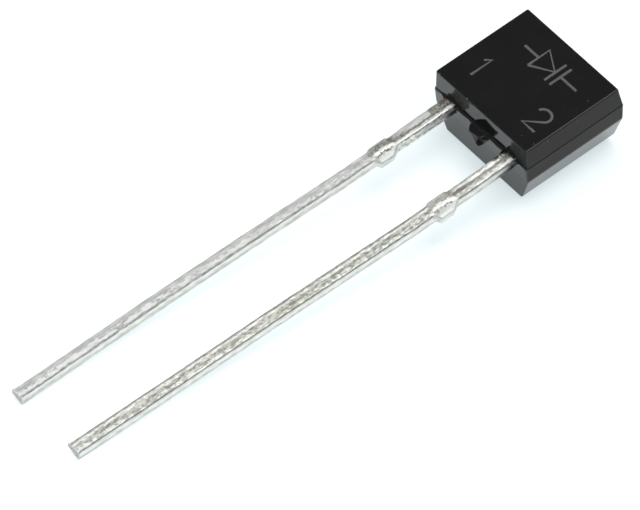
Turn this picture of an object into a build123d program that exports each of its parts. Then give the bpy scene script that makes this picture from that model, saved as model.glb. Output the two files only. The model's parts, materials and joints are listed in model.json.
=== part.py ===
from build123d import *

import os
from math import asin, atan, atan2, cos, degrees, hypot, radians, sin, tan

# Varactor diode in a small two-lead epoxy body, lying on its back as it comes to rest.
# Lengths are in millimetres. The body's own axes are: x across the leads, y from the lead
# tips towards the rear of the body, z from the parting plane towards the marked face.
# x = 0 is midway between the leads, y = 0 is the front face, where the leads come out.

# Epoxy body. Each level is (height, left, right, front, rear), and the two halves meet at
# height 0. The upper half is a little smaller and leaves a narrow ledge along the front.
marked_height = 0.76
knee_height = -0.60
back_height = -1.70
back_front = 0.10
back_rear = 3.67
upper_levels = [(0, -2.005, 2.00, 0.00, 3.665), (marked_height, -1.985, 1.945, 0.00, 3.51)]
lower_levels = [
    (0, -2.01, 2.01, -0.04, back_rear),
    (knee_height, -2.01, 2.01, 0.02, back_rear),
    (back_height, -1.60, 1.66, back_front, back_rear),
]
corner_round = 0.10
marked_edge_round = 0.05
back_edge_round = 0.07

# Gate stub, the broken end of the channel that fed the mould, below the parting plane.
# Its section is a trapezoid, (left, right) at the top and at the bottom, and in plan it
# ends on a crooked fracture line that runs out beyond both of its sides. A thin blade of
# epoxy is left standing out of the broken face, partway down.
gate_top = (-0.33, 0.45)
gate_bottom = (-0.18, 0.30)
gate_depth = 0.34
gate_root = 0.18
gate_reach = 0.36
gate_break = [(-0.60, -0.17), (-0.31, -0.22), (-0.17, -0.32), (0.11, -0.21), (0.25, -0.09), (0.60, -0.06)]
blade_level = -0.20
blade_thickness = 0.035
blade_outline = [(0.0, 0.05), (0.0, -0.31), (0.24, -0.38), (0.31, -0.39), (0.34, -0.33), (0.40, -0.06), (0.40, 0.05)]

# Leads, punched from one strip and plated.
lead_pitch = 2.54
lead_width = 0.42
lead_thickness = 0.40
lead_edge_round = 0.05
lead_level = -0.07
lead_reach = 16.1

# Stubs left on each lead where the bar that joined the leads was cut away. They stand out
# further towards +x than towards -x.
bar_centre = -2.66
bar_root_length = 0.90
bar_cut_length = 0.60
bar_overhang_left = 0.05
bar_overhang_right = 0.14

# Inside the body each lead widens into a flat plate, which starts just before its neck ends.
neck_length = 0.75
neck_lap = 0.15
plate_outer_edge = 1.62
plate_round = 0.10
pad_inner_edge = 0.05
pad_shoulder = 1.10
pad_rear = 2.55
post_inner_edge = 0.62
post_front = 0.70
post_rear = 1.55
arm_inner_edge = 1.075
arm_rear = 2.30
lock_hole_radius = 0.17
pad_hole = (-1.27, 1.45)
arm_hole = (1.32, 1.75)

# Die on the pad, and the wire from its top contact to the post.
attach_side = 0.50
attach_round = 0.05
attach_thickness = 0.02
die_side = 0.46
die_thickness = 0.20
die_centre = (-0.55, 1.75)
wire_diameter = 0.03
ball_diameter = 0.09
ball_height = 0.02
wire_rise = 0.17
wire_peak = (-0.10, 1.57)
wire_peak_rise = 0.20
wire_bend = 0.10
wire_end = (0.93, 1.15)
stitch_length = 0.12
stitch_width = 0.07
stitch_round = 0.028
stitch_height = 0.012

strip_top = lead_level + lead_thickness / 2
strip_bottom = lead_level - lead_thickness / 2
die_top = strip_top + attach_thickness + die_thickness

# Rest: the rounded front edge of the back face and the lower edges of the lead tips are on
# the surface. The round's centre stands in from the corner by the tangent length.
front_slope = atan((back_front - lower_levels[1][3]) / (knee_height - back_height))
round_y = back_front + back_edge_round / tan((radians(90) + front_slope) / 2)
round_z = back_height + back_edge_round
run = round_y + lead_reach
drop = strip_bottom - round_z
tilt = atan2(drop, run) + asin(back_edge_round / hypot(run, drop))

# The origin is on the surface, below the middle of the overall length.
tip_y = -lead_reach * cos(tilt) - strip_top * sin(tilt)
rear_y = (back_rear - back_edge_round) * cos(tilt) - round_z * sin(tilt) + back_edge_round
body_plane = Plane(
    origin=(0, -(tip_y + rear_y) / 2, lead_reach * sin(tilt) - strip_bottom * cos(tilt)),
    x_dir=(1, 0, 0),
    z_dir=(0, -sin(tilt), cos(tilt)),
)
body_up = Axis(body_plane.origin, body_plane.z_dir)


def across(y):
    """Plane square to the leads at y, with x across and the body's height upwards."""
    origin = body_plane.from_local_coords((0, y, 0))
    return Plane(origin, x_dir=body_plane.x_dir, z_dir=-body_plane.y_dir)


def body_half(levels):
    """One mould half's share of the body, lofted through its levels with rounded corners."""
    with BuildPart() as half:
        for height, left, right, front, rear in levels:
            with BuildSketch(body_plane.offset(height)):
                with Locations(((left + right) / 2, (front + rear) / 2)):
                    RectangleRounded(right - left, rear - front, corner_round)
        loft(ruled=True)
    return half.part


def lead_strip(side):
    """Round-edged lead from its cut tip into the body, with the two cut bar stubs on it."""
    x = side * lead_pitch / 2
    left, right = x - lead_width / 2, x + lead_width / 2
    with BuildPart() as strip:
        with BuildSketch(across(-lead_reach)):
            with Locations((x, lead_level)):
                RectangleRounded(lead_width, lead_thickness, lead_edge_round)
        extrude(amount=-(lead_reach + neck_length))
        with BuildSketch(body_plane.offset(strip_bottom)):
            with BuildLine():
                Polyline(
                    (left, bar_centre - bar_root_length / 2),
                    (left - bar_overhang_left, bar_centre - bar_cut_length / 2),
                    (left - bar_overhang_left, bar_centre + bar_cut_length / 2),
                    (left, bar_centre + bar_root_length / 2),
                    (right, bar_centre + bar_root_length / 2),
                    (right + bar_overhang_right, bar_centre + bar_cut_length / 2),
                    (right + bar_overhang_right, bar_centre - bar_cut_length / 2),
                    (right, bar_centre - bar_root_length / 2),
                    close=True,
                )
            make_face()
        extrude(amount=lead_thickness)
    return strip.part


def inner_plate(corners, hole):
    """Flat inner end of a lead, with rounded corners and a hole that locks it into the epoxy."""
    with BuildPart() as plate:
        with BuildSketch(body_plane.offset(strip_bottom)) as outline:
            with BuildLine():
                Polyline(*corners, close=True)
            make_face()
            fillet(outline.vertices(), plate_round)
            with Locations(hole):
                Circle(lock_hole_radius, mode=Mode.SUBTRACT)
        extrude(amount=lead_thickness)
    return plate.part


# Cathode lead: the strip widens into the pad that carries the die.
pad_corners = [
    (-plate_outer_edge, neck_length - neck_lap),
    (-pad_inner_edge, pad_shoulder),
    (-pad_inner_edge, pad_rear),
    (-plate_outer_edge, pad_rear),
]
with BuildPart() as cathode_lead:
    add(lead_strip(-1))
    add(inner_plate(pad_corners, pad_hole))
cathode_lead.part.label = "cathode_lead"

# Anode lead: the strip widens into the post that takes the bond wire, with an arm behind it.
post_corners = [
    (post_inner_edge, post_front),
    (plate_outer_edge, neck_length - neck_lap),
    (plate_outer_edge, arm_rear),
    (arm_inner_edge, arm_rear),
    (arm_inner_edge, post_rear),
    (post_inner_edge, post_rear),
]
with BuildPart() as anode_lead:
    add(lead_strip(1))
    add(inner_plate(post_corners, arm_hole))
anode_lead.part.label = "anode_lead"

# Conductive epoxy under the die.
with BuildPart() as die_attach:
    with BuildSketch(body_plane.offset(strip_top)):
        with Locations(die_centre):
            RectangleRounded(attach_side, attach_side, attach_round)
    extrude(amount=attach_thickness)
die_attach.part.label = "die_attach"

# Silicon die.
with BuildPart() as silicon_die:
    with BuildSketch(body_plane.offset(strip_top + attach_thickness)):
        with Locations(die_centre):
            Rectangle(die_side, die_side)
    extrude(amount=die_thickness)
silicon_die.part.label = "silicon_die"

# Bond wire: a ball on the die, a loop of straight runs and arcs, and a flat stitch on the post.
wire_points = [
    (*die_centre, die_top + ball_height / 2),
    (*die_centre, die_top + wire_rise),
    (*wire_peak, die_top + wire_peak_rise),
    (*wire_end, strip_top + stitch_height / 2),
]
stitch_angle = degrees(atan2(wire_end[1] - wire_peak[1], wire_end[0] - wire_peak[0]))
with BuildPart() as bond_wire:
    with BuildLine() as loop:
        FilletPolyline(*[body_plane.from_local_coords(point) for point in wire_points], radius=wire_bend)
    with BuildSketch(Plane(loop.line @ 0, z_dir=loop.line % 0)):
        Circle(wire_diameter / 2)
    sweep()
    with BuildSketch(body_plane.offset(die_top)):
        with Locations(die_centre):
            Circle(ball_diameter / 2)
    extrude(amount=ball_height)
    with BuildSketch(body_plane.offset(strip_top)):
        with Locations(Location(wire_end, stitch_angle)):
            RectangleRounded(stitch_length, stitch_width, stitch_round)
    extrude(amount=stitch_height)
    with BuildSketch(body_plane.offset(strip_top)):
        with Locations(wire_end):
            Circle(stitch_length)
    extrude(amount=-wire_diameter, mode=Mode.SUBTRACT)
bond_wire.part.label = "bond_wire"

# Moulded case: both halves and the gate stub, less what it is moulded around.
with BuildPart() as upper_half:
    add(body_half(upper_levels))
    marked_face = upper_half.faces().sort_by(body_up)[-1]
    fillet(marked_face.edges(), marked_edge_round)
with BuildPart() as lower_half:
    add(body_half(lower_levels))
    back_face = lower_half.faces().sort_by(body_up)[0]
    fillet(back_face.edges(), back_edge_round)
with BuildPart() as gate_stub:
    with BuildSketch(across(gate_root)):
        with BuildLine():
            Polyline(
                (gate_top[0], 0),
                (gate_top[1], 0),
                (gate_bottom[1], -gate_depth),
                (gate_bottom[0], -gate_depth),
                close=True,
            )
        make_face()
    extrude(amount=gate_root + gate_reach)
    with BuildSketch(body_plane):
        with BuildLine():
            Polyline(
                *gate_break,
                (gate_break[-1][0], -2 * gate_reach),
                (gate_break[0][0], -2 * gate_reach),
                close=True,
            )
        make_face()
    extrude(amount=-gate_depth, mode=Mode.SUBTRACT)
    with BuildSketch(body_plane.offset(blade_level)):
        with BuildLine():
            Polyline(*blade_outline, close=True)
        make_face()
    extrude(amount=-blade_thickness)
with BuildPart() as molded_case:
    add(upper_half.part)
    add(lower_half.part)
    add(gate_stub.part)
    for piece in (cathode_lead, anode_lead, die_attach, silicon_die, bond_wire):
        add(piece.part, mode=Mode.SUBTRACT)
molded_case.part.label = "molded_case"

os.makedirs("parts", exist_ok=True)
export_step(molded_case.part, "parts/molded_case.step")
export_step(cathode_lead.part, "parts/cathode_lead.step")
export_step(anode_lead.part, "parts/anode_lead.step")
export_step(die_attach.part, "parts/die_attach.step")
export_step(silicon_die.part, "parts/silicon_die.step")
export_step(bond_wire.part, "parts/bond_wire.step")
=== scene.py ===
import json
import math

import bmesh
import bpy
from mathutils import Matrix, Vector, noise


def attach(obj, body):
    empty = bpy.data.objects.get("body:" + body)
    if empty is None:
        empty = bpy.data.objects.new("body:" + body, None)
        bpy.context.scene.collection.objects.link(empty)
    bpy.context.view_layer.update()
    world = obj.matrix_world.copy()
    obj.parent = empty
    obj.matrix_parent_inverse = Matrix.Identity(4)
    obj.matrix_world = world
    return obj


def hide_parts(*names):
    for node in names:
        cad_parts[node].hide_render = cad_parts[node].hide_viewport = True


# Looks of a two-lead moulded varactor diode that lies on its back on a white table.
# Lengths are in millimetres in the body's own axes: x across the leads, y from the lead tips
# towards the rear of the body, z from the parting plane towards the marked face.

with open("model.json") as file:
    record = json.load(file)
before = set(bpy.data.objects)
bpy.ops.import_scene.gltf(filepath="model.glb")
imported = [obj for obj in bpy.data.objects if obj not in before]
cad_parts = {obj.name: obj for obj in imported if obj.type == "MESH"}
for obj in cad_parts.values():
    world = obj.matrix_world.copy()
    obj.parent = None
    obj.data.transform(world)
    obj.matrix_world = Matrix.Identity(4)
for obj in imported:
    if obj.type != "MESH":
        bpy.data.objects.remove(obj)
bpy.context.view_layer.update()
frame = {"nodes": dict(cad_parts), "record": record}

MM = 0.001
# How far the visible body is drawn in from its levels.
SKIN = 0.001
# Stretch of a pattern that is drawn out to twice its length along the leads.
DRAWN_OUT = (1, 0.5, 1)

# ---------------------------------------------------------------- driving dimensions
# Levels of the two mould halves: (height, left, right, front, rear).
MARKED_HEIGHT = 0.76
KNEE_HEIGHT = -0.60
BACK_HEIGHT = -1.70
BACK_REAR = 3.67
UPPER_LEVELS = [(0.0, -2.005, 2.006, 0.00, 3.665), (MARKED_HEIGHT, -1.985, 1.945, 0.00, 3.51)]
LOWER_LEVELS = [
    (BACK_HEIGHT, -1.60, 1.66, 0.10, BACK_REAR),
    (KNEE_HEIGHT, -2.01, 2.01, 0.02, BACK_REAR),
    (0.0, -2.01, 2.01, -0.04, BACK_REAR),
]
CORNER_ROUND = 0.05
MARKED_ROUND = 0.035
BACK_ROUND = 0.07
# Ragged flash on the parting edge along the front: (x, reach).
FLASH_LIP = [
    (-2.0, -0.02), (-1.7, 0.0), (-1.5, 0.06), (-1.0, 0.05),
    (-0.3, 0.04), (1.0, 0.05), (1.5, 0.05), (1.8, -0.01),
]

# In every table by side, -1 is the cathode lead and 1 the anode lead.
LEAD_WIDTH = 0.42
LEAD_THICKNESS = 0.40
# What this example's leads measure outside the body: width, thickness, twist in degrees, and how
# much wider they are at the neck.
LEAD_FORMS = {-1: (0.40, 0.385, 4.0, 0.05), 1: (0.44, 0.39, -1.0, 0.02)}
# How far each lead strays from its straight line: (y, sideways, up).
LEAD_BENDS = {
    -1: [
        (-16.1, 0.0, 0.0), (-11.0, -0.018, 0.0), (-8.0, 0.0, 0.0),
        (-4.0, 0.025, -0.05), (-2.0, 0.01, -0.05), (-0.1, 0.0, -0.04),
    ],
    1: [
        (-16.1, -0.065, 0.0), (-12.5, -0.020, 0.0), (-9.0, 0.005, 0.0),
        (-4.0, 0.050, -0.07), (-1.5, 0.045, -0.065), (-0.1, 0.03, -0.045),
    ],
}
LEAD_ROUND = 0.05
LEAD_LEVEL = -0.07
LEAD_REACH = 16.1
# Cut stubs of the bar that joined the leads: lengths along y at the root and at the cut, how far
# they stand out towards -x and +x, and how far the outer edge was drawn down.
BAR_CENTRE = -2.66
BAR_ROOT = 0.90
BAR_CUT = 0.60
BAR_LEFT = 0.05
BAR_RIGHT = 0.14
BAR_DROOP = 0.13
# Where the outer run of a lead ends inside its CAD plate.
NECK_END = 0.60

# Gate stub: (left, right) at its top and bottom, and its broken front in plan, (x, y), at the
# parting plane and at the shelf partway down, which carries the blade.
GATE_TOP = (-0.33, 0.45)
GATE_BOTTOM = (-0.18, 0.30)
GATE_DEPTH = 0.34
GATE_BREAK = [(-0.33, -0.12), (-0.27, -0.22), (-0.16, -0.32), (0.10, -0.285), (0.36, -0.255), (0.45, -0.14)]
SHELF_BREAK = [
    (-0.33, -0.18), (-0.20, -0.24), (0.02, -0.31), (0.12, -0.345), (0.24, -0.375),
    (0.305, -0.385), (0.335, -0.34), (0.375, -0.12), (0.45, -0.03),
]
SHELF_LEVEL = -0.20
# Epoxy flash round each lead where it comes out: (degrees round the lead from +x, reach, thickness).
EXIT_FLASH = {
    -1: [
        (-180, 0.05, 0.02), (-90, 0.12, 0.03), (-30, 0.16, 0.03),
        (60, 0.02, 0.01), (120, 0.06, 0.01), (180, 0.06, 0.02),
    ],
    1: [
        (-180, 0.10, 0.02), (-90, 0.30, 0.02), (-45, 0.50, 0.02), (-20, 0.12, 0.03),
        (80, 0.02, 0.01), (150, 0.20, 0.01), (180, 0.10, 0.02),
    ],
}
# Pale filler grains on the body: (x, y, z, radius).
GRAINS = [
    (-0.64, 0.00, 0.745, 0.035), (1.85, 0.37, 0.76, 0.020), (1.955, 0.80, 0.62, 0.020),
    (1.96, 1.93, 0.58, 0.016), (1.69, 2.57, 0.76, 0.014), (1.40, 0.30, 0.76, 0.012),
    (-1.82, 0.02, 0.75, 0.020),
]

# Surroundings: brightness against the upward part of the direction, then the soft round lamps:
# (azimuth, elevation, inner radius, outer radius, strength), angles in degrees.
SKY = [(0.0, 0.20), (0.30, 0.18), (0.58, 0.06), (1.0, 0.05)]
LAMPS = [(90, 82, 6, 30, 4.2), (320, 50, 20, 45, 0.7), (178, 22, 6, 18, 2.5)]

# ---------------------------------------------------------------- body axes, from the frame
mounts = {mount["name"]: mount for mount in frame["record"]["mounts"]}
cathode_tip = Vector(mounts["cathode_pin"]["pos_m"])
anode_tip = Vector(mounts["anode_pin"]["pos_m"])
x_dir = (anode_tip - cathode_tip).normalized()
z_dir = -Vector(mounts["back_face"]["axis"]).normalized()
y_dir = z_dir.cross(x_dir)
LEAD_X = (anode_tip - cathode_tip).length / MM / 2
origin = (cathode_tip + anode_tip) / 2 + y_dir * LEAD_REACH * MM - z_dir * LEAD_LEVEL * MM
turned = Matrix((x_dir, y_dir, z_dir)).transposed().to_4x4()
to_world = Matrix.Translation(origin) @ turned @ Matrix.Scale(MM, 4)


# ---------------------------------------------------------------- mesh helpers
def smooth_step(low, high, value):
    t = min(max((value - low) / (high - low), 0.0), 1.0)
    return t * t * (3 - 2 * t)


def mix(a, b, t):
    return a + (b - a) * t


def along(points, x):
    """Value at x on the polyline of (x, value) points, held level beyond its ends."""
    if x <= points[0][0]:
        return points[0][1]
    for (x0, v0), (x1, v1) in zip(points, points[1:]):
        if x <= x1:
            return mix(v0, v1, (x - x0) / (x1 - x0))
    return points[-1][1]


def wander(x, y, z, scale):
    """Smooth noise from about -1 to 1 with features about scale millimetres apart."""
    return 2 * noise.noise(Vector((x, y, z)) / scale)


def arc(centre_x, centre_y, radius_x, radius_y, start, end, steps=14):
    """Points of an elliptical arc from one angle to another, in degrees."""
    points = []
    for step in range(steps + 1):
        angle = math.radians(mix(start, end, step / steps))
        points.append((centre_x + radius_x * math.cos(angle), centre_y + radius_y * math.sin(angle)))
    return points


def rounded_outline(half_x, half_y, radius, side_steps, corner_steps):
    """Anticlockwise rounded rectangle round the origin, with the same point count for any size."""
    points = []
    corners = []
    for sign_x, sign_y, start in ((1, -1, -90), (1, 1, 0), (-1, 1, 90), (-1, -1, 180)):
        centre_x, centre_y = sign_x * (half_x - radius), sign_y * (half_y - radius)
        corners.append(arc(centre_x, centre_y, radius, radius, start, start + 90, corner_steps))
    for index, corner in enumerate(corners):
        points += corner
        begin, end = corner[-1], corners[(index + 1) % 4][0]
        steps = side_steps[index % 2]
        for step in range(1, steps):
            points.append((mix(begin[0], end[0], step / steps), mix(begin[1], end[1], step / steps)))
    return points


def loft(rings):
    """Closed mesh through rings of equal length, with a flat face on each end."""
    count = len(rings[0])
    vertices = [point for ring in rings for point in ring]
    faces = []
    for level in range(len(rings) - 1):
        low, high = level * count, (level + 1) * count
        for k in range(count):
            after = (k + 1) % count
            faces.append((low + k, low + after, high + after, high + k))
    faces.append(tuple(reversed(range(count))))
    faces.append(tuple(range((len(rings) - 1) * count, len(rings) * count)))
    return vertices, faces


def in_scene(name, data):
    """Object with the data, linked to the scene."""
    piece = bpy.data.objects.new(name, data)
    bpy.context.scene.collection.objects.link(piece)
    return piece


def rework(mesh, change=None):
    """Makes a change to the mesh, if there is one, and turns its faces outwards."""
    bm = bmesh.new()
    bm.from_mesh(mesh)
    if change:
        change(bm)
    bmesh.ops.recalc_face_normals(bm, faces=bm.faces)
    bm.to_mesh(mesh)
    bm.free()


def weld(bm):
    bmesh.ops.remove_doubles(bm, verts=bm.verts, dist=0.0005)


def new_mesh(name, vertices, faces):
    """Mesh object in the body's axes, in millimetres, with its faces turned outwards."""
    mesh = bpy.data.meshes.new(name)
    mesh.from_pydata(vertices, [], faces)
    rework(mesh)
    return in_scene(name, mesh)


def node_copy(node):
    """Welded copy of a CAD node in the body's axes, to cut or join with."""
    mesh = frame["nodes"][node].data.copy()
    mesh.transform(to_world.inverted())
    rework(mesh, weld)
    return in_scene(node + "_copy", mesh)


def discard(piece):
    mesh = piece.data
    bpy.data.objects.remove(piece)
    bpy.data.meshes.remove(mesh)


def combine(piece, other, operation):
    """Boolean of the two meshes, kept in piece. The other one is used up."""
    modifier = piece.modifiers.new("combine", "BOOLEAN")
    modifier.operation = operation
    modifier.solver = "EXACT"
    modifier.object = other
    graph = bpy.context.evaluated_depsgraph_get()
    result = bpy.data.meshes.new_from_object(piece.evaluated_get(graph))
    piece.modifiers.clear()
    old = piece.data
    piece.data = result
    bpy.data.meshes.remove(old)
    discard(other)


def dress(piece, material, replaced=(), sharp_angle=32):
    """Puts a finished mesh in the row frame, with its material, slot and body."""
    piece.data.transform(to_world)
    piece.data.materials.clear()
    piece.data.materials.append(material)
    piece.data.shade_smooth()
    piece.data.set_sharp_from_angle(angle=math.radians(sharp_angle))
    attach(piece, "root")
    if replaced:
        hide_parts(*replaced)


# ---------------------------------------------------------------- material helpers
class Nodes:
    """Short hand for the node tree of a material or of the world."""

    def __init__(self, owner, output="ShaderNodeOutputMaterial"):
        owner.use_nodes = True
        self.owner = owner
        self.tree = owner.node_tree
        self.tree.nodes.clear()
        self.output = self.add(output)

    def add(self, kind, **settings):
        node = self.tree.nodes.new(kind)
        for key, value in settings.items():
            setattr(node, key, value)
        return node

    def feed(self, socket, value):
        if isinstance(value, bpy.types.NodeSocket):
            self.tree.links.new(value, socket)
        else:
            socket.default_value = value

    def body(self):
        """Position in the body's axes, in millimetres."""
        mapping = self.add("ShaderNodeMapping")
        self.feed(mapping.inputs["Vector"], self.add("ShaderNodeTexCoord").outputs["Object"])
        mapping.inputs["Scale"].default_value = (1 / MM, 1 / MM, 1 / MM)
        mapping.inputs["Rotation"].default_value = (-math.asin(y_dir.z), 0, 0)
        mapping.inputs["Location"].default_value = to_world.inverted().translation
        return mapping.outputs["Vector"]

    def axes(self):
        """The three body coordinates as separate sockets."""
        split = self.add("ShaderNodeSeparateXYZ")
        self.feed(split.inputs[0], self.body())
        return split.outputs

    def place(self, stretch=(1, 1, 1)):
        """Position in the body's axes, stretched for grain that runs one way."""
        mapping = self.add("ShaderNodeMapping")
        self.feed(mapping.inputs["Vector"], self.body())
        mapping.inputs["Scale"].default_value = stretch
        return mapping.outputs["Vector"]

    def noise(self, size, detail=3, stretch=(1, 1, 1), seed=0.0, roughness=0.5):
        """Noise from 0 to 1 with features about size millimetres across."""
        node = self.add("ShaderNodeTexNoise", noise_dimensions="4D")
        self.feed(node.inputs["Vector"], self.place(stretch))
        node.inputs["W"].default_value = seed
        node.inputs["Scale"].default_value = 1 / size
        node.inputs["Detail"].default_value = detail
        node.inputs["Roughness"].default_value = roughness
        return node.outputs["Fac"]

    def cells(self, size):
        """Distance from the middle of the nearest cell, and a random number for each cell."""
        node = self.add("ShaderNodeTexVoronoi")
        self.feed(node.inputs["Vector"], self.place())
        node.inputs["Scale"].default_value = 1 / size
        split = self.add("ShaderNodeSeparateColor")
        self.feed(split.inputs["Color"], node.outputs["Color"])
        return node.outputs["Distance"], split.outputs["Red"]

    def between(self, value, low, high, to_low=0.0, to_high=1.0, smooth=True):
        node = self.add("ShaderNodeMapRange", interpolation_type="SMOOTHSTEP" if smooth else "LINEAR")
        self.feed(node.inputs["Value"], value)
        for key, number in (("From Min", low), ("From Max", high), ("To Min", to_low), ("To Max", to_high)):
            self.feed(node.inputs[key], number)
        return node.outputs["Result"]

    def math(self, operation, a, b=0.0):
        node = self.add("ShaderNodeMath", operation=operation)
        self.feed(node.inputs[0], a)
        self.feed(node.inputs[1], b)
        return node.outputs[0]

    def product(self, *factors):
        result = factors[0]
        for factor in factors[1:]:
            result = self.math("MULTIPLY", result, factor)
        return result

    def most(self, *values):
        result = values[0]
        for value in values[1:]:
            result = self.math("MAXIMUM", result, value)
        return result

    def off(self, value, middle=0.0):
        """How far the value is from the middle, either way."""
        return self.math("ABSOLUTE", self.math("SUBTRACT", value, middle))

    def within(self, value, clear_below, full_from, full_to, clear_above):
        """1 between two values, easing to 0 beyond them."""
        above = self.between(value, clear_below, full_from)
        below = self.between(value, clear_above, full_to)
        return self.product(above, below)

    def line(self, value, middle, half):
        """1 within about half of the middle value, 0 outside."""
        return self.between(self.off(value, middle), half * 1.5, half * 0.5)

    def near(self, point, clear, full, strength=1.0):
        """0 beyond clear millimetres from a point in the body's axes, strength within full."""
        distance = self.add("ShaderNodeVectorMath", operation="DISTANCE")
        self.feed(distance.inputs[0], self.body())
        distance.inputs[1].default_value = point
        return self.between(distance.outputs["Value"], clear, full, 0.0, strength)

    def patches(self, low, high, size, **settings):
        """Noise turned to 0 below low and to 1 above high."""
        return self.between(self.noise(size, **settings), low, high)

    def vary(self, low, high, size, **settings):
        """Noise spread out over a range of values."""
        return self.between(self.noise(size, **settings), 0.3, 0.7, low, high)

    def uneven(self, value, size, swing, seed, detail=3):
        """The value with a smooth wobble of up to swing millimetres."""
        return self.math("ADD", value, self.vary(-swing, swing, size, detail=detail, seed=seed))

    def blend(self, factor, a, b, blend_type="MIX"):
        """Colour a where factor is 0, b where it is 1."""
        node = self.add("ShaderNodeMix", data_type="RGBA", blend_type=blend_type)
        self.feed(node.inputs["Factor"], factor)
        self.feed(node.inputs["A"], a)
        self.feed(node.inputs["B"], b)
        return node.outputs["Result"]

    def paint(self, under, over, *factors):
        """Colour over on colour under, as far as the product of the factors."""
        return self.blend(self.product(*factors), under, over)

    def bump(self, height, depth, before=None):
        """Normal of a relief depth micrometres high."""
        node = self.add("ShaderNodeBump")
        node.inputs["Distance"].default_value = depth * MM * 0.001
        node.inputs["Strength"].default_value = 1.0
        self.feed(node.inputs["Height"], height)
        if before is not None:
            self.feed(node.inputs["Normal"], before)
        return node.outputs["Normal"]

    def surface(self, colour, roughness, normal=None, metallic=0.0):
        shader = self.add("ShaderNodeBsdfPrincipled")
        self.feed(shader.inputs["Base Color"], colour)
        self.feed(shader.inputs["Roughness"], roughness)
        self.feed(shader.inputs["Metallic"], metallic)
        shader.inputs["IOR"].default_value = 1.5
        shader.inputs["Specular IOR Level"].default_value = 0.5
        if normal is not None:
            self.feed(shader.inputs["Normal"], normal)
        self.feed(self.output.inputs["Surface"], shader.outputs["BSDF"])
        return self.owner


def grey(value, warmth=0.0):
    return (value * (1 + warmth), value, value * (1 - warmth), 1.0)


# ---------------------------------------------------------------- epoxy
def epoxy_material():
    """Glossy black moulding compound with pale specks and a few faint scratches on its sides."""
    n = Nodes(bpy.data.materials.new("epoxy"))
    x, y, z = n.axes()
    colour = n.blend(n.noise(0.5, detail=4), grey(0.0128), grey(0.0148, -0.03))
    filler = n.patches(0.64, 0.74, 0.035, detail=2, seed=3)
    colour = n.paint(colour, grey(0.030), filler, 0.20)
    cell_distance, cell_number = n.cells(0.42)
    speck = n.between(cell_distance, 0.048, 0.030)
    rare = n.math("GREATER_THAN", cell_number, 0.88)
    colour = n.paint(colour, grey(0.20), speck, rare)
    on_side = n.between(n.off(x), 1.93, 1.97)
    scratches = n.patches(0.66, 0.74, 0.07, stretch=(1, 0.10, 1), seed=7)
    scratched_area = n.patches(0.50, 0.60, 0.9, detail=1, seed=17)
    colour = n.paint(colour, grey(0.035), on_side, scratches, scratched_area)
    for *point, radius in GRAINS:
        colour = n.paint(colour, grey(0.22), n.near(point, radius, radius * 0.6))

    # Gate stub: a little paler, with a painted highlight as a pale streak along its top.
    from_gate = n.off(x, (GATE_TOP[0] + GATE_TOP[1]) / 2)
    at_parting = n.between(n.off(z), 0.012, 0.008)
    stub = n.product(n.between(y, -0.05, -0.07), n.between(from_gate, 0.42, 0.38))
    colour = n.paint(colour, grey(0.022), stub)
    streak_x = n.between(y, -0.26, -0.07, 0.225, 0.275, smooth=False)
    streak = n.between(n.off(x, streak_x), 0.032, 0.012)
    colour = n.paint(colour, grey(0.085), streak, n.within(y, -0.27, -0.21, -0.14, -0.07), at_parting)
    # Its broken face is rough and grey up to the blade, with a painted highlight on the ridge where they
    # meet.
    in_gate = n.product(n.between(y, -0.10, -0.12), n.between(z, -0.006, -0.012))
    snapped = n.product(in_gate, n.between(x, 0.18, 0.15))
    colour = n.paint(colour, grey(0.062), snapped)
    ridge_highlight = n.within(x, 0.135, 0.15, 0.18, 0.19)
    colour = n.paint(colour, grey(0.085), ridge_highlight, in_gate, n.between(y, -0.32, -0.28))

    # Dull patches round the leads on the front face, out to the corner beside the anode, with limits that
    # lean
    # with the height: painted shade and dark reflection of the leads. More of it lies on the ledge beside the
    # gate.
    slanted = n.math("SUBTRACT", x, n.product(z, 0.5))
    patch_x = n.uneven(slanted, 0.22, 0.10, 23, detail=2)
    round_cathode = n.between(n.off(patch_x, -1.15), 0.42, 0.28)
    round_anode = n.between(patch_x, 1.00, 1.14)
    on_front = n.product(n.between(y, 0.03, 0.01), n.within(z, 0.0, 0.02, 0.70, 0.74))
    lead_reflection_patch = n.product(n.most(round_cathode, round_anode), on_front)
    patch_tone = n.product(n.patches(0.38, 0.62, 0.14, detail=4, seed=29), n.between(z, 0.12, 0.36))
    patch_colour = n.blend(patch_tone, (0.0015, 0.002, 0.002, 1), (0.028, 0.032, 0.022, 1))
    colour = n.paint(colour, patch_colour, lead_reflection_patch)
    ledge = n.product(at_parting, n.between(y, 0.01, 0.0), n.between(from_gate, 0.36, 0.42))
    colour = n.paint(colour, (0.016, 0.020, 0.018, 1), ledge)
    # Painted shade: the front of the blade is near black and rough.
    blade_front_shade = n.product(in_gate, n.between(x, 0.17, 0.20), n.between(y, -0.20, -0.26))
    colour = n.paint(colour, grey(0.004), blade_front_shade)

    dull = n.most(n.product(lead_reflection_patch, 0.60), n.product(ledge, 0.35), n.product(blade_front_shade, 0.80))
    dull = n.most(n.product(snapped, 0.45), dull)
    roughness = n.math("ADD", n.vary(0.07, 0.11, 0.8, seed=5), dull)
    return n.surface(colour, roughness, n.bump(n.noise(0.05, seed=11), 0.12))


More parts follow.
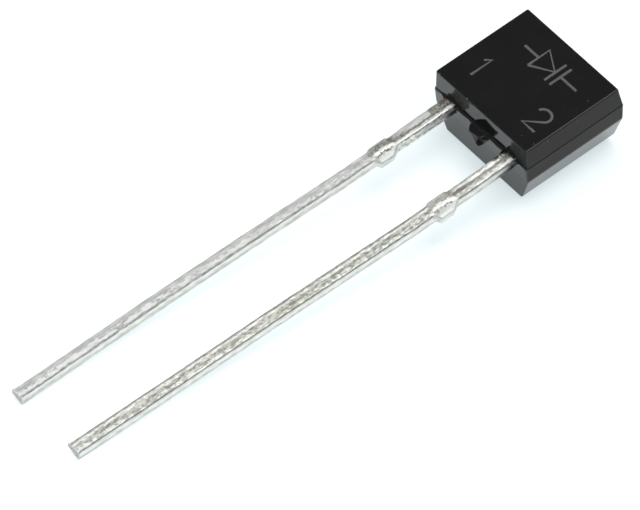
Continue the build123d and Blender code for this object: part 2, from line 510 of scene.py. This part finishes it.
# ---------------------------------------------------------------- plating of the leads
class LeadNodes(Nodes):
    """Node tree of the plating, with where on its lead a point is and the grain that recurs."""

    def __init__(self, owner):
        super().__init__(owner)
        x, self.y, z = self.axes()
        self.anode = self.math("GREATER_THAN", x, 0.0)
        self.cathode = self.math("SUBTRACT", 1.0, self.anode)
        centre = self.math("ADD", self.product(self.math("SIGN", x), LEAD_X), self.bend(1))
        self.across = self.math("SUBTRACT", x, centre)
        self.height = self.math("SUBTRACT", self.math("SUBTRACT", z, LEAD_LEVEL), self.bend(2))
        self.below_top = self.between(self.height, 0.155, 0.12)
        self.near_body = self.between(self.y, -2.40, -2.15)
        self.ragged = self.uneven(self.across, 0.10, 0.02, 73)
        self.fleck = self.patches(0.42, 0.56, 0.075, detail=4, stretch=DRAWN_OUT, seed=9, roughness=0.6)
        self.blotch = self.patches(0.42, 0.58, 0.075, stretch=(1, 0.6, 1), seed=67)
        self.blotched = self.blend(self.blotch, (0.22, 0.21, 0.17, 1), (1.0, 0.99, 0.93, 1))
        self.side_streak = self.patches(0.35, 0.65, 0.10, detail=4, stretch=(1, 0.35, 1), seed=61)
        self.torn = self.patches(0.40, 0.60, 0.06, seed=47)

    def bend(self, index):
        """How far the lead at hand has strayed at y: index 1 is sideways and 2 is up."""
        total = 0.0
        for side, chosen in ((-1, self.cathode), (1, self.anode)):
            points = LEAD_BENDS[side]
            strayed = points[0][index]
            for start, end in zip(points, points[1:]):
                step = self.between(self.y, start[0], end[0], 0.0, end[index] - start[index], smooth=False)
                strayed = self.math("ADD", strayed, step)
            total = self.math("ADD", total, self.product(chosen, strayed))
        return total


def top_face(n):
    """A plain band with fine streaks, then crystalline mottling towards +x. Returns the colour
    and where the cathode's mottling has painted white glints."""
    streak = n.patches(0.35, 0.65, 0.10, detail=4, stretch=(1, 0.22, 1), seed=4)
    plain = n.blend(streak, (0.60, 0.61, 0.59, 1), (0.86, 0.87, 0.85, 1))
    dull = n.blend(n.anode, (0.54, 0.55, 0.52, 1), (0.42, 0.43, 0.39, 1))
    bright = n.blend(n.anode, grey(1.0), (0.94, 0.94, 0.90, 1))
    mottled = n.blend(n.fleck, dull, bright)
    straw = n.patches(0.45, 0.60, 0.45, stretch=DRAWN_OUT, seed=2)
    mottled = n.paint(mottled, (0.64, 0.65, 0.44, 1), straw, n.between(n.y, -15.0, -11.0, 0.05, 0.25))
    boundary = n.math("ADD", n.uneven(n.across, 0.16, 0.06, 21), n.product(n.anode, 0.20))
    colour = n.blend(n.between(boundary, -0.05, 0.03), plain, mottled)
    # Painted highlights: white glints on the cathode's mottled top, stronger towards the tip.
    white = n.patches(0.44, 0.52, 0.13, stretch=DRAWN_OUT, seed=83)
    towards_tip = n.between(n.y, -3.0, -13.0, 0.35, 1.0)
    inside_edges = n.product(n.between(n.height, 0.12, 0.155), n.between(n.across, 0.14, 0.11))
    white = n.product(white, n.between(boundary, -0.02, 0.04), towards_tip, n.cathode, inside_edges)
    return n.paint(colour, grey(1.0), white), white


def top_lines_and_edge_shade(n, colour):
    """Lines along the top: three on the anode, of which the dark one by the -x edge is painted shade, and a
    painted shade line near each +x edge.
    """
    wavy = n.uneven(n.across, 0.30, 0.015, 57)
    colour = n.paint(colour, grey(1.0), n.anode, n.line(wavy, -0.072, 0.035), 0.45)
    grey_line_colour = n.blend(n.fleck, (0.30, 0.31, 0.28, 1), (0.58, 0.59, 0.53, 1))
    colour = n.paint(colour, grey_line_colour, n.anode, n.line(wavy, 0.015, 0.060), 0.85)
    # Painted shade along the anode's -x edge, fading towards the body.
    fading = n.between(n.y, -3.0, -2.0, 0.75, 0.45)
    colour = n.paint(colour, (0.26, 0.26, 0.25, 1), n.anode, n.line(wavy, -0.150, 0.028), fading)
    # Painted shade along the rounded +x edge of each lead.
    edge = n.math("SUBTRACT", wavy, n.product(n.anode, 0.050))
    edge = n.math("SUBTRACT", edge, n.product(n.cathode, n.near_body, 0.06))
    return n.paint(colour, (0.24, 0.24, 0.22, 1), n.line(edge, 0.160, 0.028), 0.65)


def inner_run(n, colour):
    """Top from the bar stubs to the body: a dark line along the middle, a painted white glint near the +x
    edge and a white stroke on the anode.
    """
    lower_half = n.between(n.uneven(n.across, 0.12, 0.03, 71), 0.02, 0.06)
    colour = n.paint(colour, n.blotched, n.near_body, n.cathode, lower_half, 0.60)
    cathode_middle_line = n.line(n.ragged, 0.035, 0.035)
    colour = n.paint(colour, (0.20, 0.195, 0.16, 1), n.near_body, n.cathode, cathode_middle_line, 0.80)
    dark = n.blend(n.blotch, (0.15, 0.15, 0.125, 1), (0.42, 0.42, 0.38, 1))
    beside_bar = n.between(n.y, -1.5, -2.0)
    colour = n.paint(colour, dark, n.near_body, n.line(n.ragged, 0.0, 0.065), beside_bar, 0.85)
    anode_middle_line = n.line(n.ragged, 0.0, 0.040)
    colour = n.paint(colour, (0.22, 0.22, 0.20, 1), n.near_body, n.anode, anode_middle_line, 0.65)
    # Painted highlight: a white glint along the top near the +x edge.
    edge_glint = n.line(n.ragged, n.between(n.anode, 0.0, 1.0, 0.145, 0.150), 0.035)
    strength = n.most(n.between(n.y, -1.9, -1.0, 0.20, 0.80), n.product(n.cathode, 0.7))
    colour = n.paint(colour, grey(1.0), n.near_body, edge_glint, strength)
    return n.paint(colour, grey(1.0), n.anode, n.line(n.ragged, -0.095, 0.035), n.between(n.y, -1.7, -1.3))


def stained_neck(n, colour):
    """Brownish stain with a ragged end by the body, reddish on the cathode, chipped on the anode."""
    cathode_limit = -0.75
    anode_limit = n.between(n.across, -0.20, 0.05, -0.62, -0.25, smooth=False)
    limit = n.product(n.cathode, n.math("SUBTRACT", cathode_limit, anode_limit))
    limit = n.math("ADD", limit, anode_limit)
    beyond = n.math("SUBTRACT", n.uneven(n.y, 0.13, 0.10, 51), limit)
    stain = n.patches(0.38, 0.62, 0.07, detail=4, seed=53)
    stained = n.blend(stain, (0.10, 0.10, 0.08, 1), (0.42, 0.42, 0.36, 1))
    red = n.product(n.between(n.across, -0.05, -0.11), n.between(n.y, -0.44, -0.30), n.cathode)
    stained = n.paint(stained, (0.10, 0.022, 0.028, 1), red, 0.9)
    inside_edge = n.between(n.ragged, 0.12, 0.06)
    colour = n.paint(colour, stained, n.between(beyond, -0.06, 0.06), inside_edge, 0.85)
    outer_edge = n.between(n.across, -0.12, -0.16)
    chipped = n.product(n.anode, n.between(beyond, 0.0, 0.03), outer_edge, n.between(stain, 0.6, 0.5))
    return n.paint(colour, grey(0.03), chipped)


def side_faces(n):
    """Pale sides with a white and a grey line along them, darker where the leads come out. Returns
    the colour and where the cathode's side is white."""
    side = n.blend(n.side_streak, (0.58, 0.575, 0.53, 1), (0.86, 0.85, 0.80, 1))
    drop = n.math("ADD", n.uneven(n.height, 0.30, 0.012, 59), n.product(n.anode, 0.06))
    side = n.paint(side, grey(1.0), n.line(drop, 0.085, 0.045), 0.5)
    side = n.paint(side, grey(0.40), n.line(drop, -0.060, 0.035), 0.4)
    side = n.paint(side, n.blotched, n.near_body, n.cathode, n.between(n.y, -1.6, -1.2, 0.50, 0.25))
    pale = n.product(n.cathode, n.within(n.y, -1.4, -0.9, -0.5, -0.35), n.below_top)
    side = n.paint(side, n.blend(n.blotch, (0.50, 0.48, 0.43, 1), grey(1.0)), pale)
    at_exit = n.product(n.between(n.y, -0.45, -0.15), n.between(n.height, 0.05, -0.02, 0.45, 1.0))
    under = n.product(n.anode, n.between(n.y, -0.90, -0.60), n.between(n.height, 0.01, -0.05), 0.92)
    side = n.paint(side, n.blend(n.blotch, grey(0.04), grey(0.20)), n.most(at_exit, under))
    return side, pale


def bar_stubs(n, colour):
    """Cut bar stubs: a dull run, a painted highlight arch where the edge was drawn down, and a torn curve on
    the block below it. Returns the colour and where the block's upper part is."""
    along_bar = n.math("SUBTRACT", n.y, BAR_CENTRE)
    bar = n.between(n.off(n.uneven(along_bar, 0.15, 0.04, 43)), 0.50, 0.40)
    arch = n.math("SUBTRACT", n.uneven(n.across, 0.10, 0.025, 41), n.product(along_bar, along_bar, 0.45))
    dull_run_colour = n.blend(n.torn, (0.17, 0.175, 0.155, 1), (0.46, 0.47, 0.43, 1))
    dull_run_colour = n.paint(dull_run_colour, (0.52, 0.53, 0.46, 1), n.anode, 0.5)
    dull_run_colour = n.paint(dull_run_colour, (0.56, 0.56, 0.54, 1), n.between(arch, -0.16, -0.22), 0.8)
    colour = n.paint(colour, dull_run_colour, bar, n.between(arch, 0.0, -0.06), 0.92)
    upper_block = n.blend(n.side_streak, (0.80, 0.83, 0.79, 1), (0.90, 0.93, 0.89, 1))
    lower_block = n.blend(n.side_streak, (0.60, 0.61, 0.58, 1), (0.80, 0.81, 0.77, 1))
    block = n.blend(n.between(n.height, 0.02, -0.02), upper_block, lower_block)
    colour = n.paint(colour, block, bar, n.between(arch, 0.07, 0.11))
    curve = n.line(n.uneven(arch, 0.08, 0.02, 79), 0.100, 0.045)
    curve = n.product(bar, curve, n.between(n.off(along_bar), 0.34, 0.24))
    curve_colour = n.blend(n.between(n.torn, 0.35, 0.75), (0.13, 0.13, 0.11, 1), (0.72, 0.72, 0.66, 1))
    colour = n.paint(colour, curve_colour, curve, 0.9)
    # Painted highlight along the arch of the drawn-down edge.
    drawn = n.blend(n.fleck, (0.84, 0.84, 0.78, 1), grey(1.0))
    colour = n.paint(colour, drawn, bar, n.line(arch, 0.020, 0.050))
    in_block = n.product(bar, n.between(arch, 0.08, 0.12), n.between(n.height, -0.02, 0.02))
    for side in (-1, 1):
        dark_spot = n.near((side * LEAD_X - 0.12, BAR_CENTRE + 0.40, LEAD_LEVEL + 0.13), 0.15, 0.05, 0.80)
        colour = n.paint(colour, grey(0.15), dark_spot, n.between(n.torn, 0.0, 1.0, 1.0, 0.6))
    return colour, in_block


def lead_material():
    """Tin plating: plain and mottled runs, painted shade along the edges, painted glints, torn bar stubs and
    stained necks.
    """
    n = LeadNodes(bpy.data.materials.new("tin_plate"))
    colour, white = top_face(n)
    colour = stained_neck(n, inner_run(n, top_lines_and_edge_shade(n, colour)))
    side, pale = side_faces(n)
    colour = n.paint(colour, side, n.below_top)
    # Painted highlight: a white glint on the cathode's side.
    painted_glint = (-LEAD_X + 0.22, -1.67, LEAD_LEVEL + 0.04)
    colour = n.paint(colour, grey(1.0), n.near(painted_glint, 0.09, 0.06))
    colour, in_block = bar_stubs(n, colour)
    sheared_end = n.between(n.y, -LEAD_REACH + 0.035, -LEAD_REACH + 0.020)
    colour = n.paint(colour, n.blend(n.torn, grey(0.74), grey(0.92)), sheared_end)

    matt = n.most(in_block, sheared_end, n.product(white, 0.8), n.product(pale, 0.8))
    metallic = n.between(n.height, 0.12, 0.17, 0.95, 0.55)
    metallic = n.product(metallic, n.between(matt, 0.0, 1.0, 1.0, 0.2))
    roughness = n.between(n.height, 0.12, 0.17, 0.30, 0.42)
    roughness = n.math("ADD", roughness, n.product(matt, 0.20))
    grain = n.bump(n.noise(0.07, detail=4, stretch=DRAWN_OUT, seed=6, roughness=0.6), 7)
    normal = n.bump(n.noise(0.25, detail=2, stretch=(1, 0.4, 1), seed=8), 8, grain)
    return n.surface(colour, roughness, normal, metallic)


# ---------------------------------------------------------------- other materials
def laser_material():
    """Laser-scarred epoxy, rough and grey."""
    n = Nodes(bpy.data.materials.new("laser_scar"))
    colour = n.blend(n.noise(0.03, detail=2), grey(0.085), grey(0.15))
    return n.surface(colour, 0.75, n.bump(n.noise(0.02, detail=2), 2.0))


def silicon_material():
    """Polished silicon with the metal of its top contact."""
    n = Nodes(bpy.data.materials.new("silicon"))
    colour = n.blend(n.patches(0.4, 0.6, 0.05, detail=2), (0.10, 0.11, 0.14, 1), (0.14, 0.15, 0.19, 1))
    return n.surface(colour, n.vary(0.12, 0.22, 0.02))


def attach_material():
    """Silver-filled epoxy."""
    n = Nodes(bpy.data.materials.new("silver_epoxy"))
    colour = n.blend(n.noise(0.015), grey(0.38), grey(0.66, 0.02))
    return n.surface(colour, 0.5, n.bump(n.noise(0.01, detail=2), 1.0))


def wire_material():
    """Drawn gold wire."""
    n = Nodes(bpy.data.materials.new("gold_wire"))
    colour = n.blend(n.noise(0.03, stretch=(1, 0.2, 1)), (0.88, 0.62, 0.24, 1), (0.95, 0.70, 0.32, 1))
    return n.surface(colour, n.vary(0.16, 0.28, 0.01), metallic=1.0)


# ---------------------------------------------------------------- epoxy body
def level_at(levels, z):
    """(left, right, front, rear) of a mould half at a height, with its knee eased."""
    ease = 0.03
    samples = []
    for offset in (-ease, -ease / 2, 0.0, ease / 2, ease):
        height = min(max(z + offset, levels[0][0]), levels[-1][0])
        samples.append([along([(level[0], level[i]) for level in levels], height) for i in (1, 2, 3, 4)])
    return [sum(column) / len(samples) for column in zip(*samples)]


def body_ring(levels, z, inset):
    """Outline of the body at a height, drawn in by inset."""
    left, right, front, rear = level_at(levels, z)
    middle_x, middle_y = (left + right) / 2, (front + rear) / 2
    half_x = (right - left) / 2 - inset - SKIN
    half_y = (rear - front) / 2 - inset - SKIN
    least_round = 0.02
    outline = rounded_outline(half_x, half_y, max(CORNER_ROUND - inset, least_round), (44, 44), 8)
    return [(x + middle_x, y + middle_y, z) for x, y in outline]


def lip(ring, share):
    """Parting edge of the lower half with its ragged flash, which stands out along the front."""
    moved = []
    for x, y, z in ring:
        reach = along(FLASH_LIP, x) * (1 + 0.25 * wander(x, 0, 3, 0.18)) if y < 0 else 0.0
        moved.append((x, y - reach * share, z))
    return moved


def case_shell():
    """Both mould halves as one closed skin, from the back face up to the marked face."""
    rings = []
    top = MARKED_HEIGHT - SKIN
    below_lip = -0.045
    insets = (0.4, 0.9, 1.4)
    round_angles = [math.radians(90 * step / 8) for step in range(1, 9)]
    for inset in (*reversed(insets), BACK_ROUND + 0.03, BACK_ROUND):
        rings.append(body_ring(LOWER_LEVELS, BACK_HEIGHT, inset))
    for angle in round_angles:
        z = BACK_HEIGHT + BACK_ROUND * (1 - math.cos(angle))
        rings.append(body_ring(LOWER_LEVELS, z, BACK_ROUND * (1 - math.sin(angle))))
    for step in range(1, 26):
        rings.append(body_ring(LOWER_LEVELS, mix(BACK_HEIGHT + BACK_ROUND, below_lip, step / 25), 0.0))
    for z, share in ((-0.012, 0.9), (0.0, 1.0)):
        rings.append(lip(body_ring(LOWER_LEVELS, z, 0.0), share))
    for step in range(15):
        rings.append(body_ring(UPPER_LEVELS, mix(0.0, top - MARKED_ROUND, step / 14), 0.0))
    for angle in round_angles:
        z = top - MARKED_ROUND * (1 - math.sin(angle))
        rings.append(body_ring(UPPER_LEVELS, z, MARKED_ROUND * (1 - math.cos(angle))))
    for inset in (MARKED_ROUND + 0.02, *insets):
        rings.append(body_ring(UPPER_LEVELS, top, inset))
    return new_mesh("molded_body", *loft(rings))


def gate_stub():
    """Snapped end of the mould's feed channel, with a rough broken face."""
    columns, rows, depths = 48, 34, 8
    border = grid_border(columns, rows)
    rings = []
    for step in range(depths + 1):
        rings.append([gate_point(i / columns, j / rows, step / depths) for i, j in border])
    vertices, faces = loft(rings)
    # The last face closes the broken end. A grid of points takes its place.
    faces.pop()
    base = depths * len(border)
    index = {key: base + k for k, key in enumerate(border)}
    for i in range(columns + 1):
        for j in range(rows + 1):
            if (i, j) not in index:
                index[(i, j)] = len(vertices)
                vertices.append(gate_point(i / columns, j / rows, 1.0))
    for i in range(columns):
        for j in range(rows):
            faces.append((index[(i, j)], index[(i + 1, j)], index[(i + 1, j + 1)], index[(i, j + 1)]))
    return new_mesh("gate_stub", vertices, faces)


def grid_border(columns, rows):
    """Border points of a grid, anticlockwise."""
    there = [(i, 0) for i in range(columns)] + [(columns, j) for j in range(rows)]
    back = [(i, rows) for i in range(columns, 0, -1)] + [(0, j) for j in range(rows, 0, -1)]
    return there + back


def gate_point(x_share, z_share, y_share):
    """Point of the gate stub: shares of its width, its height and its reach out of the body."""
    root = 0.12
    z = -GATE_DEPTH * (1 - z_share)
    left = mix(GATE_BOTTOM[0], GATE_TOP[0], z_share)
    right = mix(GATE_BOTTOM[1], GATE_TOP[1], z_share)
    x = mix(left, right, x_share)
    shelf = along(SHELF_BREAK, x)
    if z > SHELF_LEVEL:
        # Sloping beside the blade, and stepping out at the shelf where the blade is.
        slope = z / SHELF_LEVEL
        ledge = smooth_step(SHELF_LEVEL + 0.015, SHELF_LEVEL + 0.001, z)
        snapped = mix(along(GATE_BREAK, x), shelf, mix(slope, ledge, smooth_step(0.17, 0.21, x)))
    else:
        # Falling back below the shelf, at once under the blade.
        undercut = smooth_step(0.10, 0.16, x) * smooth_step(SHELF_LEVEL - 0.010, SHELF_LEVEL - 0.03, z)
        recess = mix((SHELF_LEVEL - z) / (GATE_DEPTH + SHELF_LEVEL) * 0.7, 0.95, undercut)
        snapped = shelf * (1 - recess)
    roughness = smooth_step(0.24, 0.16, x) * smooth_step(0.0, -0.04, z)
    rough = roughness * (0.014 * wander(x, 0, z, 0.14) + 0.008 * wander(x, 5, z, 0.05))
    return (x, mix(root, snapped + rough, y_share), z - 2 * SKIN)


def exit_flash(side):
    """Ragged skin of epoxy that crept along a lead where it leaves the body."""
    outline = rounded_outline(LEAD_WIDTH / 2, LEAD_THICKNESS / 2, LEAD_ROUND, (16, 16), 4)
    centre = Vector((side * LEAD_X, LEAD_LEVEL))
    reaches = [(angle, reach) for angle, reach, thickness in EXIT_FLASH[side]]
    thicknesses = [(angle, thickness) for angle, reach, thickness in EXIT_FLASH[side]]
    root, start = 0.08, -0.05
    vertices, faces = [], []
    for x, z in outline:
        out = Vector((x, z)).normalized()
        angle = math.degrees(math.atan2(z, x))
        jagged = min(max(0.75 + 0.9 * wander(x * 3 + side * 3, side, z * 3, 0.10), 0.3), 1.4)
        creep = along(reaches, angle) * jagged
        thick = along(thicknesses, angle) * jagged
        for y, grow in ((root, -0.05), (root, thick + 0.01), (start, thick), (start - creep, -0.004)):
            point = centre + Vector((x, z)) + out * grow
            vertices.append((point.x, y, point.y))
    count = len(outline)
    for k in range(count):
        after = (k + 1) % count
        for j in range(4):
            other = (j + 1) % 4
            faces.append((4 * k + j, 4 * after + j, 4 * after + other, 4 * k + other))
    return new_mesh("exit_flash", vertices, faces)


def build_case(material):
    case = case_shell()
    for extra in (gate_stub(), exit_flash(-1), exit_flash(1)):
        combine(case, extra, "UNION")
    for node in ("cathode_lead", "anode_lead", "die_attach", "silicon_die", "bond_wire"):
        combine(case, node_copy(node), "DIFFERENCE")
    dress(case, material, ["molded_case"])


# ---------------------------------------------------------------- leads
def bar_shares(y, side):
    """How fully the cut bar stubs stand out at y on the left, and on the right, where they taper
    off towards the body."""
    past_centre = y - BAR_CENTRE + 0.02 * wander(y, side, 0, 0.25)
    left = smooth_step(BAR_CUT / 2 + 0.09, BAR_CUT / 2 + 0.01, abs(past_centre))
    if past_centre < 0:
        return left, smooth_step(BAR_CUT / 2 + 0.07, BAR_CUT / 2 - 0.03, -past_centre)
    return left, smooth_step(BAR_ROOT / 2 + 0.03, 0.15, past_centre)


def lead_ring(side, y):
    """Section of a lead at y, with its bend, twist, relief, cut bar stubs and sheared tip."""
    left_share, right_share = bar_shares(y, side)
    bar_left, bar_right = BAR_LEFT * left_share, BAR_RIGHT * right_share
    width, thickness, twist, growth = LEAD_FORMS[side]
    outside = smooth_step(0.0, -0.3, y)
    clear = smooth_step(0.20, 0.0, y)
    flare = smooth_step(-LEAD_REACH + 0.16, -LEAD_REACH, y)
    width += growth * smooth_step(-2.3, -1.6, y)
    half_x = mix(LEAD_WIDTH, width, outside) / 2 + (bar_left + bar_right) / 2 + 0.015 * flare
    half_z = mix(LEAD_THICKNESS, thickness, outside) / 2
    sharp_round = 0.025
    radius = mix(LEAD_ROUND, sharp_round, max(right_share, flare))
    sideways = along([(at, aside) for at, aside, up in LEAD_BENDS[side]], y)
    lift = along([(at, up) for at, aside, up in LEAD_BENDS[side]], y)
    turn = Matrix.Rotation(math.radians(twist * outside), 2)
    ring = []
    for corner_x, corner_z in rounded_outline(half_x, half_z, radius, (14, 20), 5):
        local_x = corner_x + (bar_right - bar_left) / 2
        low_share = (half_z - corner_z) / (2 * half_z)
        droop = BAR_DROOP * right_share * smooth_step(0.04, 0.32, local_x) * (1 - low_share)
        rolled = flare * low_share * mix(0.08, 0.22, smooth_step(half_x, -half_x, corner_x))
        point = turn @ Vector((local_x, corner_z - droop + rolled))
        out = point.normalized()
        relief = 0.003 * wander(point.x * 2.2, y, point.y * 2.2 + side * 4, 0.40)
        relief += 0.002 * wander(point.x * 2, y, point.y * 2 + side, 0.12) - 0.006
        point += out * relief * outside
        ring.append((side * LEAD_X + point.x + sideways * clear, y, LEAD_LEVEL + point.y + lift * clear))
    return ring


def keep_inner_end(bm):
    """Cuts away the part of a lead in front of a plane inside the body, and closes the cut."""
    parts = bm.verts[:] + bm.edges[:] + bm.faces[:]
    cut_at, towards_tip = (0, 0.45, 0), (0, -1, 0)
    cut = bmesh.ops.bisect_plane(bm, geom=parts, plane_co=cut_at, plane_no=towards_tip, clear_outer=True)
    bmesh.ops.holes_fill(bm, edges=[edge for edge in cut["geom_cut"] if isinstance(edge, bmesh.types.BMEdge)])


def build_lead(side, node, material):
    """Outer run of a lead with its relief, joined to the CAD form of its inner plate."""
    spacing = 0.03
    steps = round(LEAD_REACH / spacing) - 1
    stations = [-LEAD_REACH + SKIN + spacing * step for step in range(steps + 1)] + [0.03, 0.30, NECK_END]
    lead = new_mesh(node + "_strip", *loft([lead_ring(side, y) for y in stations]))
    inner = node_copy(node)
    rework(inner.data, keep_inner_end)
    combine(lead, inner, "UNION")
    dress(lead, material, [node])


# ---------------------------------------------------------------- marking
def marking_strokes():
    """Varactor symbol above, pin numbers 1 and 2 below, as centre lines."""
    y, low, high = 2.55, 2.13, 2.97
    triangle, near_bar, far_bar = -0.42, 0.30, 0.52
    symbol = [
        [(-1.02, y), (triangle, y)],
        [(triangle, low), (triangle, high), (0.28, y), (triangle, low)],
        [(near_bar, low), (near_bar, high)],
        [(far_bar, low), (far_bar, high)],
        [(far_bar, y), (1.20, y)],
    ]
    base, top = 0.66, 1.48
    one = [(-1.38, top - 0.17), (-1.22, top), (-1.22, base)]
    two = arc(1.27, top - 0.23, 0.25, 0.23, 170, -35) + [(1.00, base), (1.54, base)]
    return symbol + [one, two]


def build_marking(material):
    """Flat strokes, a few micrometres proud of the marked face."""
    width, height = 0.085, 0.004
    curve = bpy.data.curves.new("laser_mark", "CURVE")
    curve.dimensions = "3D"
    curve.bevel_depth = width / 2
    curve.bevel_resolution = 3
    curve.use_fill_caps = True
    for stroke in marking_strokes():
        spline = curve.splines.new("POLY")
        spline.points.add(len(stroke) - 1)
        for point, (x, y) in zip(spline.points, stroke):
            point.co = (x, y, 0, 1)
    temporary = in_scene("mark_curve", curve)
    graph = bpy.context.evaluated_depsgraph_get()
    mesh = bpy.data.meshes.new_from_object(temporary.evaluated_get(graph))
    bpy.data.objects.remove(temporary)
    bpy.data.curves.remove(curve)
    flatten = Matrix.Diagonal((1, 1, height / width * 2, 1))
    mesh.transform(Matrix.Translation((0, 0, MARKED_HEIGHT)) @ flatten)
    dress(in_scene("laser_mark", mesh), material, sharp_angle=60)


# ---------------------------------------------------------------- stage, light and camera
def build_floor():
    """White table that takes the shadows. It also glows: to the camera, more so towards the lead
    tips, and in reflections, more under the body's +x edge and less out beside the body."""
    half = 1.2
    level = -0.000002
    corners = [(-half, -half, level), (half, -half, level), (half, half, level), (-half, half, level)]
    mesh = bpy.data.meshes.new("table")
    mesh.from_pydata(corners, [], [(0, 1, 2, 3)])
    table = in_scene("table", mesh)
    n = Nodes(bpy.data.materials.new("white_table"))
    diffuse = n.add("ShaderNodeBsdfDiffuse")
    diffuse.inputs["Color"].default_value = grey(0.60)
    glow = n.add("ShaderNodeEmission")
    glow.inputs["Color"].default_value = (0.86, 0.97, 1.0, 1)
    ray = n.add("ShaderNodeLightPath").outputs
    x, y, _ = n.axes()
    camera_glow = n.product(ray["Is Camera Ray"], n.between(y, -1.5, -5.0, 0.64, 0.74))
    under_edge = n.product(n.within(x, 1.30, 1.60, 1.95, 2.15), 0.10)
    beside = n.product(n.between(x, 2.0, 2.3), 0.55)
    behind_front = n.between(y, 0.0, 0.5)
    reflected = n.math("ADD", 0.58, n.product(behind_front, n.math("SUBTRACT", under_edge, beside)))
    mirrored = n.product(n.most(ray["Is Glossy Ray"], ray["Is Transmission Ray"]), reflected)
    n.feed(glow.inputs["Strength"], n.math("ADD", camera_glow, mirrored))
    total = n.add("ShaderNodeAddShader")
    n.feed(total.inputs[0], diffuse.outputs["BSDF"])
    n.feed(total.inputs[1], glow.outputs["Emission"])
    n.feed(n.output.inputs["Surface"], total.outputs["Shader"])
    mesh.materials.append(n.owner)


def direction(azimuth, elevation):
    """Unit vector, azimuth in degrees anticlockwise from +X seen from above."""
    a, e = math.radians(azimuth), math.radians(elevation)
    return (math.cos(a) * math.cos(e), math.sin(a) * math.cos(e), math.sin(e))


def build_light():
    """Bright surroundings near the horizon, a dim ceiling and soft round lamps in it."""
    world = bpy.data.worlds.new("studio")
    bpy.context.scene.world = world
    n = Nodes(world, "ShaderNodeOutputWorld")
    where = n.add("ShaderNodeTexCoord").outputs["Generated"]
    split = n.add("ShaderNodeSeparateXYZ")
    n.feed(split.inputs[0], where)
    ramp = n.add("ShaderNodeValToRGB")
    n.feed(ramp.inputs[0], split.outputs["Z"])
    ramp.color_ramp.interpolation = "EASE"
    elements = ramp.color_ramp.elements
    elements[0].position, elements[1].position = SKY[0][0], SKY[-1][0]
    for position, value in SKY[1:-1]:
        elements.new(position)
    for element, (position, value) in zip(elements, SKY):
        element.color = (value * 0.97, value, value * 1.01, 1)
    total = ramp.outputs["Color"]
    for azimuth, elevation, inner, outer, strength in LAMPS:
        dot = n.add("ShaderNodeVectorMath", operation="DOT_PRODUCT")
        n.feed(dot.inputs[0], where)
        dot.inputs[1].default_value = direction(azimuth, elevation)
        edge, full = math.cos(math.radians(outer)), math.cos(math.radians(inner))
        lamp = n.between(dot.outputs["Value"], edge, full, 0.0, strength)
        total = n.blend(1.0, total, lamp, blend_type="ADD")
    background = n.add("ShaderNodeBackground")
    n.feed(background.inputs["Color"], total)
    n.feed(n.output.inputs["Surface"], background.outputs[0])


def build_camera():
    """Long lens above the front right, turned a little about its own axis."""
    azimuth, elevation, roll = 45.296, 49.130, 5.421
    distance = 0.25705
    target = Vector((-0.00081234, 0.0009666, -0.00096117))
    a, e, r = (math.radians(angle) for angle in (azimuth, elevation, roll))
    back = Vector((math.sin(a) * math.cos(e), -math.cos(a) * math.cos(e), math.sin(e)))
    level_right = Vector((math.cos(a), math.sin(a), 0))
    level_up = back.cross(level_right)
    right = level_right * math.cos(r) + level_up * math.sin(r)
    up = back.cross(right)
    data = bpy.data.cameras.new("camera")
    data.lens = 506.25
    data.sensor_width = 36
    data.clip_start = 0.01
    data.clip_end = 10
    camera = in_scene("camera", data)
    rotation = Matrix((right, up, back)).transposed().to_4x4()
    camera.matrix_world = Matrix.Translation(target + back * distance) @ rotation
    bpy.context.scene.camera = camera


tin = lead_material()
build_case(epoxy_material())
build_lead(-1, "cathode_lead", tin)
build_lead(1, "anode_lead", tin)
build_marking(laser_material())
for node, material in (
    ("silicon_die", silicon_material()),
    ("die_attach", attach_material()),
    ("bond_wire", wire_material()),
):
    frame["nodes"][node].data.materials.clear()
    frame["nodes"][node].data.materials.append(material)
build_floor()
build_light()
build_camera()

bpy.context.scene.view_settings.view_transform = "Standard"
